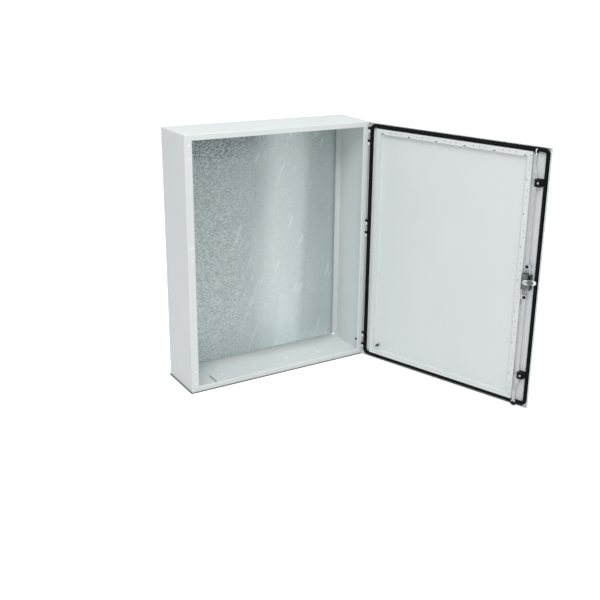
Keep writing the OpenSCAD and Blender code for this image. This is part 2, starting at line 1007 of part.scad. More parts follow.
module cam_screw() {
    color(steel)
        at_lock() {
            translate([0, 0, cam_n + cam_t - cam_screw_depth + 1])
                cylinder(h = cam_screw_depth - 1, r = cam_screw_r);
            translate([0, 0, cam_n + cam_t])
                cylinder(h = 1, r = square_w * 0.8);
            translate([0, 0, cam_n + cam_t])
                cylinder(h = cam_screw_head_t, r = cam_screw_r * nut_size, $fn = 6);
        }
}

// Upper half of the rod gear in the lock's own frame; the lower half is the same piece turned round

module rack_outline() {
    translate([-rack_back_x, -rack_tail])
        square([rack_back, head_s0 + head_l + rack_tail]);
    translate([-rack_back_x, head_s0])
        square([rack_back_x, head_l]);
    for (i = [-1:rack_tooth_count - 2])
        translate([-pinion_r, (i + 0.5) * tooth_pitch])
            polygon([
                [tooth_addendum, -tooth_half + tooth_addendum * tan(pressure_angle)],
                [tooth_addendum, tooth_half - tooth_addendum * tan(pressure_angle)],
                [-tooth_dedendum - 0.2, tooth_half + tooth_dedendum * tan(pressure_angle)],
                [-tooth_dedendum - 0.2, -tooth_half - tooth_dedendum * tan(pressure_angle)]
            ]);
}

// Flat bar that rises from the lock's level to the roller's level
module rod_bar(s0, s1) {
    along_x(-rod_w / 2, rod_w / 2)
        polygon([
            [s0, gear_n - rod_t / 2],
            [bend_s0, gear_n - rod_t / 2],
            [bend_s1, roller_n - rod_t / 2],
            [s1, roller_n - rod_t / 2],
            [s1, roller_n + rod_t / 2],
            [bend_s1, roller_n + rod_t / 2],
            [bend_s0, gear_n + rod_t / 2],
            [s0, gear_n + rod_t / 2]
        ]);
}

module rivet_hole() {
    translate([0, rivet_s, gear_n - 3 * head_half_n])
        cylinder(h = 6 * head_half_n, r = rivet_r + fit);
}

module rack() {
    difference() {
        union() {
            translate([0, 0, rack_n0])
                linear_extrude(rack_t)
                    rack_outline();
            translate([-head_half_w, head_s0, gear_n - head_half_n])
                cube([2 * head_half_w, head_l, 2 * head_half_n]);
        }
        translate([-rod_w / 2 - fit, head_s0 + 2, gear_n - rod_t / 2 - fit])
            cube([rod_w + 2 * fit, head_l, rod_t + 2 * fit]);
        rivet_hole();
    }
}

module rod() {
    difference() {
        union() {
            rod_bar(head_s0 + 2 + fit, fork_s0 + fork_base / 2);
            translate([-fork_half_w, fork_s0, roller_n - fork_half_n])
                cube([2 * fork_half_w, fork_base, 2 * fork_half_n]);
            for (side = [0, 1])
                mirror([side, 0, 0])
                    translate([fork_half_w - fork_wall, 0, 0])
                        along_x(0, fork_wall) {
                            translate([fork_s0, roller_n - fork_half_n])
                                square([roller_s - fork_s0, 2 * fork_half_n]);
                            translate([roller_s, roller_n])
                                circle(fork_half_n);
                        }
        }
        rivet_hole();
        translate([-2 * fork_half_w, roller_s, roller_n])
            rotate([0, 90, 0])
                cylinder(h = 4 * fork_half_w, r = axle_r + fit);
    }
}

module rivet() {
    translate([0, rivet_s, gear_n - head_half_n - rivet_head_t])
        cylinder(h = rivet_head_t, r = rivet_head_r);
    translate([0, rivet_s, gear_n - head_half_n])
        cylinder(h = 2 * head_half_n, r = rivet_r);
    translate([0, rivet_s, gear_n + head_half_n])
        cylinder(h = rivet_head_t, r = rivet_head_r);
}

module axle() {
    translate([-fork_half_w, roller_s, roller_n])
        rotate([0, 90, 0])
            cylinder(h = 2 * fork_half_w, r = axle_r);
}

module roller() {
    edge = 1.2;
    translate([0, roller_s, roller_n])
        rotate([0, 90, 0])
            rotate_extrude()
                polygon([
                    [axle_r + fit, -roller_w / 2],
                    [roller_r - edge, -roller_w / 2],
                    [roller_r, -roller_w / 2 + edge],
                    [roller_r, roller_w / 2 - edge],
                    [roller_r - edge, roller_w / 2],
                    [axle_r + fit, roller_w / 2]
                ]);
}

module lower_half() {
    at_lock()
        rotate(180)
            children();
}

module upper_rack() {
    color(zinc)
        at_lock()
            rack();
}

module upper_rod() {
    color(zinc)
        at_lock()
            rod();
}

module upper_rivet() {
    color(black)
        at_lock()
            rivet();
}

module upper_axle() {
    color(steel)
        at_lock()
            axle();
}

module upper_roller() {
    color(black)
        at_lock()
            roller();
}

module lower_rack() {
    color(zinc)
        lower_half()
            rack();
}

module lower_rod() {
    color(zinc)
        lower_half()
            rod();
}

module lower_rivet() {
    color(black)
        lower_half()
            rivet();
}

module lower_axle() {
    color(steel)
        lower_half()
            axle();
}

module lower_roller() {
    color(black)
        lower_half()
            roller();
}

module chamfered_rect(w, h, c) {
    polygon([
        [-w / 2 + c, -h / 2],
        [w / 2 - c, -h / 2],
        [w / 2, -h / 2 + c],
        [w / 2, h / 2 - c],
        [w / 2 - c, h / 2],
        [-w / 2 + c, h / 2],
        [-w / 2, h / 2 - c],
        [-w / 2, -h / 2 + c]
    ]);
}

// Cross-section of a rod guide: a foot up to the seal, a hook over the rod and a low wall
module guide_section() {
    polygon([
        [-guide_foot, 0],
        [guide_in, 0],
        [guide_in, gear_n],
        [rod_w / 2 + running_gap, gear_n],
        [rod_w / 2 + running_gap, gear_n - guide_slot],
        [-rod_w / 2 - running_gap, gear_n - guide_slot],
        [-rod_w / 2 - running_gap, gear_n + guide_slot],
        [guide_over, gear_n + guide_slot],
        [guide_over, guide_n],
        [-guide_out, guide_n],
        [-guide_out, guide_foot_n],
        [-guide_foot, guide_foot_n]
    ]);
}

module rod_guide(z) {
    color(black)
        on_floor()
            translate([lock_x, z, 0])
                difference() {
                    intersection() {
                        along_y(-guide_h / 2, guide_h / 2)
                            guide_section();
                        translate([(guide_in - guide_foot) / 2, 0, -cut])
                            linear_extrude(guide_n + 2 * cut)
                                chamfered_rect(guide_in + guide_foot, guide_h, guide_chamfer);
                    }
                    translate([guide_screw_x, 0, -cut])
                        cylinder(h = guide_n + 2 * cut, r = guide_screw_r + fit);
                }
}

module lower_rod_guide() {
    rod_guide(guide_zs[0]);
}

module upper_rod_guide() {
    rod_guide(guide_zs[1]);
}

module guide_screws() {
    color(zinc)
        on_floor()
            for (z = guide_zs)
                translate([lock_x + guide_screw_x, z, 0]) {
                    cylinder(h = guide_n, r = guide_screw_r);
                    translate([0, 0, guide_n])
                        cylinder(h = guide_screw_head_t, r = guide_screw_r * 1.6);
                }
}

body_shell();
rear_panel();
mounting_plate();
plate_studs();
plate_nuts();
gland_plate();
gland_seal();
gland_screws();
hinge_brackets();
hinge_screws();
flange_plugs();
body_earth_stud();
body_earth_nut();
door_panel();
door_seal();
strip_hinge_side();
strip_lock_side();
strip_top();
strip_bottom();
door_hinge_lugs();
hinge_pins();
door_earth_stud();
door_earth_nut();
lock_escutcheon();
lock_case();
case_screws();
lock_cover();
cover_screws();
upper_rod_guide();
lower_rod_guide();
guide_screws();
cam_stop();
lock_spindle();
lock_cam();
cam_screw();
upper_rack();
upper_rod();
upper_rivet();
upper_axle();
lower_rack();
lower_rod();
lower_rivet();
lower_axle();
upper_roller();
lower_roller();
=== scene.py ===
"""Looks of a wall-mounting sheet-steel enclosure: finishes, small fittings, studio light and camera.

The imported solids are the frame. Everything here is in metres, +Z up, with the front towards -Y.
"""
import json
import math

import bmesh
import bpy
from mathutils import Matrix, Vector


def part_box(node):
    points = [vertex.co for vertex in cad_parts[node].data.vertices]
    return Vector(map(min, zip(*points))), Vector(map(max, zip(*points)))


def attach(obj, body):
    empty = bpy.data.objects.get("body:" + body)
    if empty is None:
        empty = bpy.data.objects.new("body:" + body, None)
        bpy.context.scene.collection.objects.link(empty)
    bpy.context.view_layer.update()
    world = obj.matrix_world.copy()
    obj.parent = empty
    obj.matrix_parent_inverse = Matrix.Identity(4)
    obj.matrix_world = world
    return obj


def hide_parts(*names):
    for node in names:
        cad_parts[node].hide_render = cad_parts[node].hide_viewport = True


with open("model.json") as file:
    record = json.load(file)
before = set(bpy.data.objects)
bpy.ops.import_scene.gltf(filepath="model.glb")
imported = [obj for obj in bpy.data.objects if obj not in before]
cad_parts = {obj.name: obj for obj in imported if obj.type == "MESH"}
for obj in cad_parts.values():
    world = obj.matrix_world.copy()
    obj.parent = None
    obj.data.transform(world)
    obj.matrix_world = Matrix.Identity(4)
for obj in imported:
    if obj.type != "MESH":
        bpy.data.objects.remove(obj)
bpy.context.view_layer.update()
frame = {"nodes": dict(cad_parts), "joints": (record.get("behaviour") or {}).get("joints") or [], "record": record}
nodes = frame["nodes"]
joints = {joint["name"]: joint for joint in frame["joints"]}

# Camera fitted to the photograph, with its angles in degrees
CAMERA_PLACE = (-1.6698, -3.0388, 1.5352)
CAMERA_YAW = 33.858
CAMERA_PITCH = 18.560
CAMERA_ROLL = 1.479
FOCAL_PIXELS = 896.1
CENTRE_PIXEL = (345.3, 279.9)
IMAGE_PIXELS = 600
SENSOR_MM = 36
VIEW_DEPTH = 300

# Door, with places as on the closed one: along it from its middle, upwards, in from its inside face
UP = Vector((0, 0, 1))
HINGE_PLACE = Vector(joints["door_hinge"]["pos_m"])
DOOR_TURN = Matrix.Rotation(math.radians(-joints["door_hinge"]["range_deg"][0]), 3, "Z")
DOOR_NORMAL = DOOR_TURN @ Vector((0, 1, 0))
DOOR_ALONG = DOOR_TURN @ Vector((1, 0, 0))
FACE_BEFORE_HINGE = 0.0055
DOOR_INSIDE = HINGE_PLACE.y - FACE_BEFORE_HINGE
DOOR_EARTH = (0.3115, 0.0635)

# Lock on the door
LOCK_X = -0.3505
LOCK_Z = 0.5
GUIDE_SCREW_X = -0.3635
GUIDE_SCREW_RISE = 0.3705
GUIDE_SCREWS = [(GUIDE_SCREW_X, LOCK_Z + s * GUIDE_SCREW_RISE) for s in (1, -1)]
COVER_SCREW_OUT = 0.009
COVER_SCREW_RISE = 0.0265
COVER_SCREWS = [(LOCK_X + s * COVER_SCREW_OUT, LOCK_Z + s * COVER_SCREW_RISE) for s in (-1, 1)]
CAM_TILT = math.radians(8)
CAM_TOP = 0.025
FORK_HALF = 0.0078

# Perforated strips round the door
STRIP_LENGTH = 0.955
STRIP_MIDDLE = 0.5
HINGE_STRIP = 0.343
LOCK_STRIP = -0.321
TOP_STRIP = 0.968
BOTTOM_STRIP = 0.032
CROSS_MIDDLE = 0.011
CROSS_LENGTH = 0.645

# Body
PLATE_STUD_X = 0.345
PLATE_STUD_HEIGHTS = (0.049, 0.951)
PLATE_STUDS = [(x, z) for x in (-PLATE_STUD_X, PLATE_STUD_X) for z in PLATE_STUD_HEIGHTS]
REAR_INSIDE = 0.1035
PLATE_FRONT = 0.089
BODY_EARTH = Vector((0.3985, -0.077, 0.058))

# Studio
FLOOR_SIZE = 120
FLOOR_GLOW = 0.6
FLOOR_COLOUR = (0.82, 0.82, 0.82)
# Close to the base the floor's glow fades out, and its colour darkens to a painted contact shadow
CONTACT_FADE = (0.001, 0.011)
CONTACT_SHADOW_COLOUR = (0.12, 0.12, 0.12)
SKY_LEVEL = 0.62
LAMPS = {
    "top_light": {"place": (0.1, -0.4, 4.4), "target": (0, 0, 0.5), "size": 3, "watts": 36},
    "front_light": {"place": (-2.5, -4.3, 5.8), "target": (0.1, -0.1, 0.35), "size": 4, "watts": 235},
}


# Materials

# The middle of a noise's range, which a change of tone spans
NOISE_LOW = 0.3
NOISE_HIGH = 0.7
FINE_RELIEF = 0.0002

# Powder coat
PAINT_DARK = (0.690, 0.730, 0.732)
PAINT_LIGHT = (0.712, 0.750, 0.752)

# How far a metal is rougher in dark patches and smoother in light ones, and how much finer its grain is
METAL_DULL = 0.08
METAL_BRIGHT = 0.06
METAL_GRAIN = 6

# How far a coating's roughness swings either way, and how much coarser its patches are than its grain
COATING_SWING = 0.05
COATING_CLOUD = 8

# Galvanised plate: spangle, upright bands of painted reflection, painted shade and rub marks, with stops of grey
# or of strength
SPANGLE_SCALE = 240
FLAKE_SCALE = 330
FLAKE_RANGE = (0.35, 0.65)
MIDDLE_GREY = 0.5
BAND_HALF = 0.4
BAND_WAVE = 0.18
WAVE_STRETCH = (3, 1, 0.8)
# Painted reflection: a light upright band right of the middle of the plate, darker to either side
REFLECTION_BAND_STOPS = [
    (0.0, 0.29), (0.38, 0.27), (0.56, 0.35), (0.71, 0.84), (0.83, 0.84), (0.91, 0.55), (1.0, 0.60),
]
SPECKLE_STOPS = [(0.0, 1.0), (0.42, 0.9), (0.6, 0.22), (1.0, 0.25)]
# How strongly the painted shadow under the top flange falls: full at the left, none at the right
SHADE_STOPS = [(0.0, 1.0), (0.5, 0.6), (0.75, 0.1), (1.0, 0.0)]
# Painted shade, deepening over the last strip of the plate towards each upright edge
EDGE_SHADE_STOPS = [(0.0, 0.0), (0.5, 0.08), (1.0, 0.3)]
ZINC_STOPS = [(0.15, (0.20, 0.245, 0.255)), (0.85, (0.86, 0.935, 0.945))]
PLATE_EDGE = 0.364
EDGE_SHADE_W = 0.024
RUB_SLANT = -0.45
RUB_STRETCH = (38, 1, 8)
RUB_RANGE = (0.6, 0.72)
RUB_LEVEL = 0.2

# Changes up the plate between two heights: the spangle's strength, painted light towards the foot and a painted
# shadow under the top flange
SPECKLE_RISE = {"start": 0.82, "end": 0.96, "low": 0.42, "high": 1.0}
FOOT_LIGHT = {"start": 0.9, "end": 0.05, "low": 0.0, "high": 0.15}
FLANGE_SHADE = {"start": 0.85, "end": 0.97, "low": 0.0, "high": -0.36}


def graph(name):
    """A new node material with its links, its shader and its object coordinates."""
    material = bpy.data.materials.new(name)
    material.use_nodes = True
    tree = material.node_tree
    shader = tree.nodes["Principled BSDF"]
    place = tree.nodes.new("ShaderNodeTexCoord").outputs["Object"]
    return material, tree, shader, place


def feed(tree, socket, value):
    """Sets a socket to a number, or links it to another value."""
    if isinstance(value, (int, float)):
        socket.default_value = value
    else:
        tree.links.new(value, socket)


def arithmetic(tree, operation, first, second=0.0):
    """The result of a sum on numbers or values."""
    node = tree.nodes.new("ShaderNodeMath")
    node.operation = operation
    feed(tree, node.inputs[0], first)
    feed(tree, node.inputs[1], second)
    return node.outputs[0]


def mix(tree, first, second, factor):
    """A blend of two numbers or values."""
    node = tree.nodes.new("ShaderNodeMix")
    node.data_type = "FLOAT"
    feed(tree, node.inputs[0], factor)
    feed(tree, node.inputs[2], first)
    feed(tree, node.inputs[3], second)
    return node.outputs[0]


def spread(tree, value, start, end, low=0.0, high=1.0, kind="LINEAR"):
    """A value carried from one range to another and held at its ends."""
    node = tree.nodes.new("ShaderNodeMapRange")
    node.interpolation_type = kind
    for name, number in (("From Min", start), ("From Max", end), ("To Min", low), ("To Max", high)):
        node.inputs[name].default_value = number
    tree.links.new(value, node.inputs["Value"])
    return node.outputs["Result"]


def mapped(tree, place, scale=(1, 1, 1), turn=(0, 0, 0)):
    """Coordinates stretched along each axis, then turned."""
    node = tree.nodes.new("ShaderNodeMapping")
    node.inputs["Scale"].default_value = scale
    node.inputs["Rotation"].default_value = turn
    tree.links.new(place, node.inputs["Vector"])
    return node.outputs["Vector"]


def noise(tree, place, scale, detail=4.0, roughness=0.5):
    node = tree.nodes.new("ShaderNodeTexNoise")
    node.inputs["Scale"].default_value = scale
    node.inputs["Detail"].default_value = detail
    node.inputs["Roughness"].default_value = roughness
    tree.links.new(place, node.inputs["Vector"])
    return node.outputs["Fac"]


def ramp(tree, value, stops):
    """Colours along a value, from (position, colour) stops; a number is a grey."""
    node = tree.nodes.new("ShaderNodeValToRGB")
    elements = node.color_ramp.elements
    while len(elements) < len(stops):
        elements.new(0.5)
    for element, (position, colour) in zip(elements, stops):
        channels = (colour,) * 3 if isinstance(colour, (int, float)) else colour
        element.position = position
        element.color = (*channels, 1)
    tree.links.new(value, node.inputs["Fac"])
    return node.outputs["Color"]


def between(tree, value, low, high, start=NOISE_LOW, end=NOISE_HIGH):
    """A change from one colour or grey to another along a value."""
    return ramp(tree, value, [(start, low), (end, high)])


def bump(tree, shader, height, strength, distance=FINE_RELIEF):
    node = tree.nodes.new("ShaderNodeBump")
    node.inputs["Strength"].default_value = strength
    node.inputs["Distance"].default_value = distance
    tree.links.new(height, node.inputs["Height"])
    tree.links.new(node.outputs["Normal"], shader.inputs["Normal"])


def powder_coat():
    """Light grey with faint clouds and the fine skin of a sprayed powder."""
    material, tree, shader, place = graph("powder_coat")
    tone = noise(tree, place, scale=3.5, detail=3.0)
    gloss = noise(tree, place, scale=60)
    skin = noise(tree, place, scale=650, detail=2.0)
    feed(tree, shader.inputs["Base Color"], between(tree, tone, PAINT_DARK, PAINT_LIGHT))
    feed(tree, shader.inputs["Roughness"], between(tree, gloss, low=0.42, high=0.5))
    bump(tree, shader, skin, strength=0.18)
    return material


def zinc_flakes(tree, place):
    """Cells of chance greys, half broken up by a rough noise."""
    cells = tree.nodes.new("ShaderNodeTexVoronoi")
    cells.inputs["Scale"].default_value = SPANGLE_SCALE
    tree.links.new(place, cells.inputs["Vector"])
    channels = tree.nodes.new("ShaderNodeSeparateColor")
    tree.links.new(cells.outputs["Color"], channels.inputs["Color"])
    rough = noise(tree, place, FLAKE_SCALE, detail=6.0, roughness=0.8)
    return between(tree, mix(tree, channels.outputs["Red"], rough, factor=0.5), 0.0, 1.0, *FLAKE_RANGE)


def rub_marks(tree, place):
    """Short pale streaks on a slant."""
    slanted = mapped(tree, place, turn=(0, RUB_SLANT, 0))
    streaks = noise(tree, mapped(tree, slanted, RUB_STRETCH), scale=1.0)
    return between(tree, streaks, 0.0, RUB_LEVEL, *RUB_RANGE)


def plate_light(tree, across, upwards, span):
    """Painted light and shade: lighter towards the foot, a painted shadow under the top flange and painted shade
    along the two upright edges.
    """
    foot = spread(tree, upwards, **FOOT_LIGHT)
    under_flange = spread(tree, upwards, **FLANGE_SHADE)
    shade = arithmetic(tree, "MULTIPLY", under_flange, ramp(tree, span, SHADE_STOPS))
    off_middle = arithmetic(tree, "ABSOLUTE", across)
    edge = ramp(tree, spread(tree, off_middle, PLATE_EDGE - EDGE_SHADE_W, PLATE_EDGE), EDGE_SHADE_STOPS)
    return arithmetic(tree, "SUBTRACT", arithmetic(tree, "ADD", foot, shade), edge)


def galvanised():
    """Fine zinc spangle, strongest towards one side, with soft upright bands of painted reflection, painted light
    and shade, and pale rub marks.
    """
    material, tree, shader, place = graph("galvanised")
    sides = tree.nodes.new("ShaderNodeSeparateXYZ")
    tree.links.new(place, sides.inputs["Vector"])
    across, upwards = sides.outputs["X"], sides.outputs["Z"]
    wave = noise(tree, mapped(tree, place, WAVE_STRETCH), scale=2.5, detail=3.0)
    wavy = arithmetic(tree, "ADD", arithmetic(tree, "MULTIPLY", wave, BAND_WAVE), across)
    span = spread(tree, wavy, -BAND_HALF, BAND_HALF)
    speckle = zinc_flakes(tree, place)
    rise = spread(tree, upwards, **SPECKLE_RISE)
    strength = arithmetic(tree, "MULTIPLY", rise, ramp(tree, span, SPECKLE_STOPS))
    calmed = mix(tree, MIDDLE_GREY, speckle, strength)
    # The upright bands of painted reflection, mixed half and half with the spangle
    reflection_banded = mix(tree, ramp(tree, span, REFLECTION_BAND_STOPS), calmed, factor=0.5)
    marks = arithmetic(tree, "MULTIPLY", rub_marks(tree, place), span)
    tone = arithmetic(tree, "ADD", reflection_banded, marks)
    # Painted light and shade added to the plate's tone
    graded = arithmetic(tree, "ADD", tone, plate_light(tree, across, upwards, span))
    feed(tree, shader.inputs["Base Color"], ramp(tree, graded, ZINC_STOPS))
    feed(tree, shader.inputs["Roughness"], between(tree, tone, low=0.5, high=0.36))
    shader.inputs["Metallic"].default_value = 0.9
    bump(tree, shader, speckle, strength=0.1)
    return material


def metal(name, dark, light, roughness, scale, relief, metallic=1.0):
    """A metal with soft patches, smoother where it is lighter, and a fine grain."""
    material, tree, shader, place = graph(name)
    tone = noise(tree, place, scale, detail=5.0, roughness=0.6)
    dull, bright = roughness + METAL_DULL, roughness - METAL_BRIGHT
    feed(tree, shader.inputs["Base Color"], between(tree, tone, dark, light))
    feed(tree, shader.inputs["Roughness"], between(tree, tone, dull, bright))
    shader.inputs["Metallic"].default_value = metallic
    bump(tree, shader, noise(tree, place, scale * METAL_GRAIN, detail=3.0), relief)
    return material


def coating(name, dark, light, roughness, scale, relief, depth=FINE_RELIEF, sheen=0.5):
    """A rubber, plastic or lacquer with a fine grain."""
    material, tree, shader, place = graph(name)
    shader.inputs["Specular IOR Level"].default_value = sheen
    tone = noise(tree, place, scale / COATING_CLOUD, detail=3.0)
    smooth, rough = roughness - COATING_SWING, roughness + COATING_SWING
    feed(tree, shader.inputs["Base Color"], between(tree, tone, dark, light))
    feed(tree, shader.inputs["Roughness"], between(tree, tone, smooth, rough))
    bump(tree, shader, noise(tree, place, scale, detail=3.0), relief, depth)
    return material


FINISHES = {
    "paint": powder_coat(),
    "galvanised": galvanised(),
    "bright_zinc": metal(
        "bright_zinc", dark=(0.88, 0.90, 0.91), light=(0.95, 0.96, 0.96),
        roughness=0.28, scale=180, relief=0.06, metallic=0.35,
    ),
    "die_cast": metal(
        "die_cast", dark=(0.13, 0.15, 0.15), light=(0.23, 0.25, 0.25),
        roughness=0.44, scale=240, relief=0.15,
    ),
    "steel": metal(
        "steel", dark=(0.58, 0.60, 0.61), light=(0.72, 0.74, 0.75),
        roughness=0.36, scale=200, relief=0.08,
    ),
    "seal": coating(
        "seal", dark=(0.005, 0.007, 0.007), light=(0.009, 0.012, 0.012),
        roughness=0.75, scale=420, relief=0.25, depth=0.0004, sheen=0.06,
    ),
    "black_metal": coating(
        "black_metal", dark=(0.010, 0.010, 0.011), light=(0.016, 0.016, 0.017),
        roughness=0.45, scale=500, relief=0.1, sheen=0.16,
    ),
    "black_plastic": coating(
        "black_plastic", dark=(0.009, 0.010, 0.010), light=(0.015, 0.016, 0.016),
        roughness=0.5, scale=900, relief=0.2, sheen=0.12,
    ),
    "white_plastic": coating(
        "white_plastic", dark=(0.84, 0.84, 0.83), light=(0.90, 0.90, 0.89),
        roughness=0.42, scale=400, relief=0.05, depth=0.0001,
    ),
}


def dress(piece, slot):
    piece.data.materials.clear()
    piece.data.materials.append(FINISHES[slot])


for part in frame["record"]["subparts"]:
    dress(nodes[part["node"]], part["material_slot"])


# Small fittings, skinned through rings of points, and the two side strips

SHARP_ANGLE = math.radians(32)
ROUND_SIDES = 48
NEVER_ZERO = 1e-6

# Studs
STUD_R = 0.004
STUD_PITCH = 0.00125
THREAD_DEPTH = 0.0007
THREAD_SIDES = 24
THREAD_STEPS = 4
TIP_STEPS = 2
TIP_R = STUD_R - 1.6 * THREAD_DEPTH
COLLAR_R = 0.0076
COLLAR_T = 0.012
COLLAR_GAP = 0.0001
EARTH_STUD = 0.022

# Flange nuts, with their flat sides at NUT_FLAT from the axis
NUT_T = 0.0065
NUT_FLAT = 0.0064
NUT_FLANGE_R = 0.0084
NUT_FLANGE_T = 0.0015
NUT_RIM_T = 0.6 * NUT_FLANGE_T
NUT_SEAT_R = 1.1 * NUT_FLAT
NUT_ROUND_R = 1.04 * NUT_FLAT
NUT_TOP_R = 0.95 * NUT_ROUND_R
NUT_CHAMFER = 0.0008
NUT_BEVEL = 0.0002
BORE_MOUTH_R = 1.18 * STUD_R
BORE_R = 0.9 * STUD_R
BORE_SINK = 0.0007
EARTH_NUT_LIFT = NUT_T

# Screws, from the shank's start to the head's seat, with heads in shares of their radius and height
GUIDE_SCREW = {
    "start": 0, "seat": 0.0203, "radius": 0.004, "height": 0.002, "shank": 0.0025, "recess": 0.0022,
}
COVER_SCREW = {
    "start": 0.008, "seat": 0.0178, "radius": 0.0025, "height": 0.0017, "shank": 0.0014, "recess": 0.0016,
}
PAN_PROFILE = [(1.0, 0.0), (1.0, 0.45), (0.92, 0.75), (0.72, 1.0)]
RECESS_ARM = 0.28
RECESS_FLOOR = 0.35

# Keeper on the cam
KEEPER_REACH = 0.021
KEEPER_HALF = 0.006
KEEPER_R = 0.0078
KEEPER_TOP_R = 0.0072
KEEPER_T = 0.001
KEEPER_EDGE_T = 0.0007

# Caps of the rollers' axles
CAP_R = 0.0068
CAP_T = 0.0014
CAP_PROFILE = [(1.0, 0.0), (0.94, 0.4), (0.7, 0.8), (0.3, 1.0)]

# Strap round the upper roller, with its bend in degrees
STRAP_R = 0.0086
STRAP_T = 0.0012
STRAP_W = 0.0033
STRAP_BEND = range(-60, 76, 9)
STRAP_ASIDE = 0.004
STRAP_FOOT = 0.0036
STRAP_FOOT_DEPTH = 0.0128
STRAP_FOOT_RISE = 0.002

# Linings of the strips: black ones are painted shade in the hollows, pale ones are paint-coloured backs
LINING_T = 0.0004
LINING_W = 0.0158
LINING_FOOT = 0.0003
LINING_SHORT = 0.004
SHADE_LINING_H = 0.0080
HOLE_BACK_W = 0.0066
HOLE_BACK_H = 0.0009
PAINTED_BACK_H = 0.0111

# Side strips, each of two lengths that meet at a joint, with points at less than a weld's reach joined
NOTCH_PITCH = 0.125
STRIP_JOINT = 0.1
WELD = 1e-6


def on_door(x, z, n):
    """A place on the open door from its place on the closed one."""
    closed = Vector((x, DOOR_INSIDE + n, z))
    return HINGE_PLACE + DOOR_TURN @ (closed - HINGE_PLACE)


def axes(place, across, axis):
    """A frame at a place with its X across and its Z along an axis."""
    side = axis.cross(across)
    return Matrix.Translation(place) @ Matrix((across, side, axis)).transposed().to_4x4()


def ring(radius, height, sides=ROUND_SIDES):
    """Points round the axis; the radius is a length or a rule for it from the angle."""
    points = []
    for k in range(sides):
        angle = 2 * math.pi * k / sides
        reach = radius(angle) if callable(radius) else radius
        points.append((reach * math.cos(angle), reach * math.sin(angle), height))
    return points


def hexagon(flat):
    """The outline of a hexagon as a rule from the angle."""
    return lambda angle: flat / math.cos((angle + math.pi / 6) % (math.pi / 3) - math.pi / 6)


def cross(length, width):
    """The outline of a cross recess as a rule from the angle."""
    def bar(a, b, angle):
        run, rise = max(abs(math.cos(angle)), NEVER_ZERO), max(abs(math.sin(angle)), NEVER_ZERO)
        return min(a / run, b / rise)
    return lambda angle: max(bar(length, width, angle), bar(width, length, angle))


def stadium(half, radius):
    """The outline of a slot with round ends as a rule from the angle."""
    def reach(angle):
        run, rise = abs(math.cos(angle)), abs(math.sin(angle))
        if radius * run <= half * rise:
            return radius / rise
        return half * run + math.sqrt(radius ** 2 - (half * rise) ** 2)
    return reach


def groove(height):
    """The outline of a thread at a height as a rule from the angle."""
    def reach(angle):
        wave = (height / STUD_PITCH - angle / 2 / math.pi) % 1 * 2 - 1
        return STUD_R - THREAD_DEPTH * abs(wave)
    return reach


def thread(start, end):
    """A threaded rod with a chamfered tip, along the axis from start to end."""
    step = STUD_PITCH / THREAD_STEPS
    count = int((end - start) / step) - TIP_STEPS
    heights = [start + k * step for k in range(count)]
    turns = [ring(groove(height), height, THREAD_SIDES) for height in heights]
    root = ring(STUD_R - THREAD_DEPTH, end - step, THREAD_SIDES)
    return [*turns, root, ring(TIP_R, end, THREAD_SIDES)]


def nut(start):
    """A flange nut with chamfered corners and a countersunk bore round its stud."""
    flange = start + NUT_FLANGE_T
    top = start + NUT_T
    flats = hexagon(NUT_FLAT)
    return [
        ring(NUT_FLANGE_R, start),
        ring(NUT_FLANGE_R, start + NUT_RIM_T),
        ring(NUT_SEAT_R, flange),
        ring(flats, flange),
        ring(flats, top - NUT_CHAMFER),
        ring(NUT_ROUND_R, top - NUT_BEVEL),
        ring(NUT_TOP_R, top),
        ring(BORE_MOUTH_R, top),
        ring(BORE_R, top - BORE_SINK),
    ]


def dome(profile, start, radius, height):
    """A rounded head from steps in shares of its radius and height."""
    return [ring(radius * out, start + height * rise) for out, rise in profile]


def pan_head(start, seat, radius, height, shank, recess):
    """A screw with a domed head and a cross recess."""
    mark = cross(recess, recess * RECESS_ARM)
    head = dome(PAN_PROFILE, seat, radius, height)
    sunk = [ring(mark, seat + height), ring(mark, seat + height * RECESS_FLOOR)]
    return [ring(shank, start), ring(shank, seat), *head, *sunk]


def extruded(outline, length):
    """A flat outline drawn out along Z, half to each side."""
    return [[(x, y, z) for x, y in outline] for z in (-length / 2, length / 2)]


def channel(width, height, length):
    """A lining of U section, X across, Y away from its base and Z along its middle."""
    outer, inner, under = width / 2, width / 2 - LINING_T, height - LINING_T
    left = [(-outer, 0), (-inner, 0), (-inner, under)]
    right = [(inner, under), (inner, 0), (outer, 0)]
    return extruded([*left, *right, (outer, height), (-outer, height)], length)


def strap():
    """A strap bent round a roller, X away from the door, Y up and Z along the axle, with a foot below."""
    turns = [math.radians(angle) for angle in STRAP_BEND]
    outer = STRAP_R + STRAP_T
    foot = [(STRAP_FOOT, -STRAP_FOOT_DEPTH), (STRAP_FOOT + STRAP_T, -STRAP_FOOT_DEPTH)]
    front = [(outer * math.cos(t), outer * math.sin(t)) for t in turns]
    rear = [(STRAP_R * math.cos(t), STRAP_R * math.sin(t)) for t in reversed(turns)]
    return extruded([*foot, *front, *rear, (STRAP_FOOT, STRAP_FOOT_RISE - outer)], STRAP_W)


def put(name, mesh, slot, body, replaced=None):
    """One object from a mesh, dressed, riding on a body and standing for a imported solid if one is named."""
    mesh.set_sharp_from_angle(angle=SHARP_ANGLE)
    made = bpy.data.objects.new(name, mesh)
    bpy.context.scene.collection.objects.link(made)
    dress(made, slot)
    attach(made, body)
    if replaced:
        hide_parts(replaced)


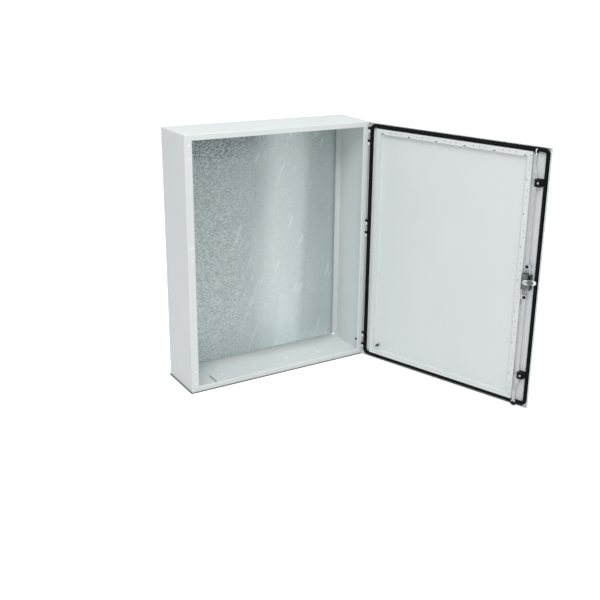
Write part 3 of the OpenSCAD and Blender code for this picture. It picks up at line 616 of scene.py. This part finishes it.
def piece(name, slot, body, solids, replaced=None):
    """One object skinned from (rings, frame) solids."""
    points, faces = [], []
    for rings, place in solids:
        first, count = len(points), len(rings[0])
        points += [place @ Vector(p) for r in rings for p in r]
        last = first + count * (len(rings) - 1)
        faces += [[first + k for k in reversed(range(count))], [last + k for k in range(count)]]
        for low in range(first, last, count):
            for k in range(count):
                near, far = low + k, low + (k + 1) % count
                faces.append([near, far, far + count, near + count])
    mesh = bpy.data.meshes.new(name)
    mesh.from_pydata(points, [], faces)
    mesh.polygons.foreach_set("use_smooth", [True] * len(mesh.polygons))
    put(name, mesh, slot, body, replaced)


def body_fittings():
    """The mounting plate's studs and nuts, and the earth stud on the side wall."""
    spots = [axes(Vector((x, REAR_INSIDE, z)), UP, Vector((0, -1, 0))) for x, z in PLATE_STUDS]
    front = REAR_INSIDE - PLATE_FRONT
    collar = [ring(COLLAR_R, 0), ring(COLLAR_R, COLLAR_T)]
    rod = thread(COLLAR_T + COLLAR_GAP, front + NUT_T + STUD_R)
    studs = [(collar, spot) for spot in spots] + [(rod, spot) for spot in spots]
    piece("plate_stud_threads", "steel", "enclosure", studs, "plate_studs")
    piece("plate_flange_nuts", "steel", "enclosure", [(nut(front), spot) for spot in spots], "plate_nuts")
    earth = axes(BODY_EARTH, UP, Vector((-1, 0, 0)))
    earth_rod = thread(0, EARTH_STUD)
    earth_nut = nut(EARTH_NUT_LIFT)
    piece("body_earth_thread", "black_metal", "enclosure", [(earth_rod, earth)], "body_earth_stud")
    piece("body_earth_flange_nut", "black_metal", "enclosure", [(earth_nut, earth)], "body_earth_nut")


def door_fittings():
    """The door's earth stud, and the screws of the rod guides and of the lock's cover."""
    earth = axes(on_door(*DOOR_EARTH, 0), UP, DOOR_NORMAL)
    piece("door_earth_thread", "black_metal", "door", [(thread(0, EARTH_STUD), earth)], "door_earth_stud")
    piece("door_earth_flange_nut", "steel", "door", [(nut(0), earth)], "door_earth_nut")
    for name, places, screw, replaced in (
        ("guide_pan_screws", GUIDE_SCREWS, pan_head(**GUIDE_SCREW), "guide_screws"),
        ("cover_recess_screws", COVER_SCREWS, pan_head(**COVER_SCREW), "cover_screws"),
    ):
        spots = [axes(on_door(x, z, 0), UP, DOOR_NORMAL) for x, z in places]
        piece(name, "steel", "door", [(screw, spot) for spot in spots], replaced)


def roller_place(end):
    """The middle of the upper or the lower roller."""
    return Vector(joints[end + "_roller_turn"]["pos_m"])


def axle_caps(end):
    """The two caps of a roller's axle."""
    cap = dome(CAP_PROFILE, 0, CAP_R, CAP_T)
    sides = [s * DOOR_ALONG for s in (-1, 1)]
    caps = [(cap, axes(roller_place(end) + side * FORK_HALF, UP, side)) for side in sides]
    piece(end + "_axle_caps", "black_plastic", end + "_bolt", caps)


def lock_fittings():
    """The dark keeper on the cam, the caps of the rollers' axles and the strap round the upper roller."""
    reach = math.cos(CAM_TILT) * DOOR_ALONG * -1 + math.sin(CAM_TILT) * UP
    middle = on_door(LOCK_X, LOCK_Z, CAM_TOP) + reach * KEEPER_REACH
    shape = stadium(KEEPER_HALF, KEEPER_R)
    small = stadium(KEEPER_HALF, KEEPER_TOP_R)
    keeper = [ring(shape, 0), ring(shape, KEEPER_EDGE_T), ring(small, KEEPER_T)]
    piece("cam_keeper", "die_cast", "lock", [(keeper, axes(middle, reach, DOOR_NORMAL))])
    axle_caps("upper")
    spot = axes(roller_place("upper") - STRAP_ASIDE * DOOR_ALONG, DOOR_NORMAL, DOOR_ALONG)
    piece("upper_fork_bridge", "bright_zinc", "upper_bolt", [(strap(), spot)])
    axle_caps("lower")


def strip_linings():
    """Black linings of painted shade in the hollows of two strips, with pale backs to their holes, and
    paint-coloured backs in the other two.
    """
    # Painted shade: black linings that darken the hollows seen through the strips' notches
    shade_lining = ("_shade_lining", "black_plastic", LINING_FOOT, LINING_W, SHADE_LINING_H)
    hole_back = ("_hole_back", "paint", LINING_FOOT + SHADE_LINING_H, HOLE_BACK_W, HOLE_BACK_H)
    painted_back = ("_back", "paint", LINING_FOOT, LINING_W, PAINTED_BACK_H)
    level = (-UP, DOOR_ALONG, CROSS_LENGTH)
    upright = (DOOR_ALONG, UP, STRIP_LENGTH)
    for strip, place, (across, axis, length), linings in (
        ("strip_top", (CROSS_MIDDLE, TOP_STRIP), level, [shade_lining, hole_back]),
        ("strip_bottom", (CROSS_MIDDLE, BOTTOM_STRIP), level, [painted_back]),
        ("strip_lock_side", (LOCK_STRIP, STRIP_MIDDLE), upright, [shade_lining, hole_back]),
        ("strip_hinge_side", (HINGE_STRIP, STRIP_MIDDLE), upright, [painted_back]),
    ):
        for ending, slot, foot, width, height in linings:
            lining = channel(width, height, length - LINING_SHORT)
            piece(strip + ending, slot, "door", [(lining, axes(on_door(*place, foot), across, axis))])


def strip_run(node, move, start, end):
    """An imported strip moved upwards, cut off at two heights and closed there."""
    run = bmesh.new()
    run.from_mesh(node.data)
    moved = Matrix.Translation((0, 0, move)) @ node.matrix_world
    bmesh.ops.transform(run, matrix=moved, verts=run.verts)
    bmesh.ops.remove_doubles(run, verts=run.verts[:], dist=WELD)
    for height, way in ((start, -1), (end, 1)):
        everything = run.verts[:] + run.edges[:] + run.faces[:]
        plane = {"plane_co": (0, 0, height), "plane_no": (0, 0, way)}
        bmesh.ops.bisect_plane(run, geom=everything, clear_outer=True, **plane)
    bmesh.ops.holes_fill(run, edges=[e for e in run.edges if e.is_boundary])
    return run


def centred_strip(name):
    """A side strip with its pattern moved half a pitch, so that a notch stands at mid-height."""
    low, high = (corner[2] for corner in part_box(name))
    shift = NOTCH_PITCH / 2
    mesh = bpy.data.meshes.new(name + "_centred")
    whole = bmesh.new()
    for move, start, end in ((shift, STRIP_JOINT, high), (-shift, low, STRIP_JOINT)):
        run = strip_run(nodes[name], move, start, end)
        run.to_mesh(mesh)
        run.free()
        whole.from_mesh(mesh)
    whole.to_mesh(mesh)
    whole.free()
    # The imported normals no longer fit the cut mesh
    if "custom_normal" in mesh.attributes:
        mesh.attributes.remove(mesh.attributes["custom_normal"])
    put(name + "_centred", mesh, "paint", "door", name)


body_fittings()
door_fittings()
lock_fittings()
strip_linings()
centred_strip("strip_lock_side")
centred_strip("strip_hinge_side")


# Studio

def beyond(tree, value, half):
    """How far a coordinate lies outside a half width."""
    return arithmetic(tree, "SUBTRACT", arithmetic(tree, "ABSOLUTE", value), half)


def floor_material():
    """White to the eye, apart from its shadow and a painted contact shadow along the base; a pale grey to the
    light.
    """
    material = bpy.data.materials.new("studio_floor")
    material.use_nodes = True
    tree = material.node_tree
    tree.nodes.remove(tree.nodes["Principled BSDF"])
    place = tree.nodes.new("ShaderNodeSeparateXYZ")
    tree.links.new(tree.nodes.new("ShaderNodeTexCoord").outputs["Object"], place.inputs["Vector"])
    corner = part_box("body_shell")[1]
    away_x = beyond(tree, place.outputs["X"], corner[0])
    away_y = beyond(tree, place.outputs["Y"], corner[1])
    away = arithmetic(tree, "MAXIMUM", away_x, away_y)
    clear = spread(tree, away, *CONTACT_FADE, kind="SMOOTHSTEP")
    rays = tree.nodes.new("ShaderNodeLightPath")
    shown = arithmetic(tree, "MULTIPLY", rays.outputs["Is Camera Ray"], FLOOR_GLOW)
    glow = tree.nodes.new("ShaderNodeEmission")
    feed(tree, glow.inputs["Strength"], arithmetic(tree, "MULTIPLY", shown, clear))
    matt = tree.nodes.new("ShaderNodeBsdfDiffuse")
    # Painted contact shadow: the floor's colour darkens close to the base
    feed(tree, matt.inputs["Color"], between(tree, clear, CONTACT_SHADOW_COLOUR, FLOOR_COLOUR, start=0.0, end=1.0))
    both = tree.nodes.new("ShaderNodeAddShader")
    tree.links.new(glow.outputs[0], both.inputs[0])
    tree.links.new(matt.outputs[0], both.inputs[1])
    tree.links.new(both.outputs[0], tree.nodes["Material Output"].inputs["Surface"])
    return material


def studio_floor():
    mesh = bpy.data.meshes.new("studio_floor")
    half = FLOOR_SIZE / 2
    corners = [(-half, -half, 0), (half, -half, 0), (half, half, 0), (-half, half, 0)]
    mesh.from_pydata(corners, [], [(0, 1, 2, 3)])
    floor = bpy.data.objects.new("studio_floor", mesh)
    bpy.context.scene.collection.objects.link(floor)
    mesh.materials.append(floor_material())


def sky():
    """White to the eye, and an even soft light on the object."""
    world = bpy.data.worlds.new("studio_sky")
    world.use_nodes = True
    bpy.context.scene.world = world
    tree = world.node_tree
    background = tree.nodes["Background"]
    background.inputs["Color"].default_value = (1, 1, 1, 1)
    rays = tree.nodes.new("ShaderNodeLightPath")
    level = spread(tree, rays.outputs["Is Camera Ray"], 0, 1, low=SKY_LEVEL)
    feed(tree, background.inputs["Strength"], level)


def lamp(name, place, target, size, watts):
    """A round soft light at a place, turned to a target."""
    light = bpy.data.lights.new(name, "AREA")
    light.shape = "DISK"
    light.size = size
    light.energy = watts
    obj = bpy.data.objects.new(name, light)
    bpy.context.scene.collection.objects.link(obj)
    obj.location = place
    obj.rotation_euler = (Vector(target) - Vector(place)).to_track_quat("-Z", "Y").to_euler()


def camera():
    """The photograph's view, with its middle shifted as in the picture."""
    yaw, pitch, roll = (math.radians(angle) for angle in (CAMERA_YAW, CAMERA_PITCH, CAMERA_ROLL))
    view = Vector((math.sin(yaw) * math.cos(pitch), math.cos(yaw) * math.cos(pitch), -math.sin(pitch)))
    level = Vector((math.cos(yaw), -math.sin(yaw), 0))
    upright = level.cross(view)
    right = math.cos(roll) * level + math.sin(roll) * upright
    up = math.cos(roll) * upright - math.sin(roll) * level
    data = bpy.data.cameras.new("photo_camera")
    data.sensor_width = SENSOR_MM
    data.lens = FOCAL_PIXELS * SENSOR_MM / IMAGE_PIXELS
    data.shift_x = (IMAGE_PIXELS / 2 - CENTRE_PIXEL[0]) / IMAGE_PIXELS
    data.shift_y = (CENTRE_PIXEL[1] - IMAGE_PIXELS / 2) / IMAGE_PIXELS
    data.clip_end = VIEW_DEPTH
    obj = bpy.data.objects.new("photo_camera", data)
    bpy.context.scene.collection.objects.link(obj)
    turn = Matrix((right, up, -view)).transposed()
    obj.matrix_world = Matrix.Translation(CAMERA_PLACE) @ turn.to_4x4()
    bpy.context.scene.camera = obj


bpy.context.scene.view_settings.view_transform = "Standard"
studio_floor()
sky()
for name, settings in LAMPS.items():
    lamp(name, **settings)
camera()
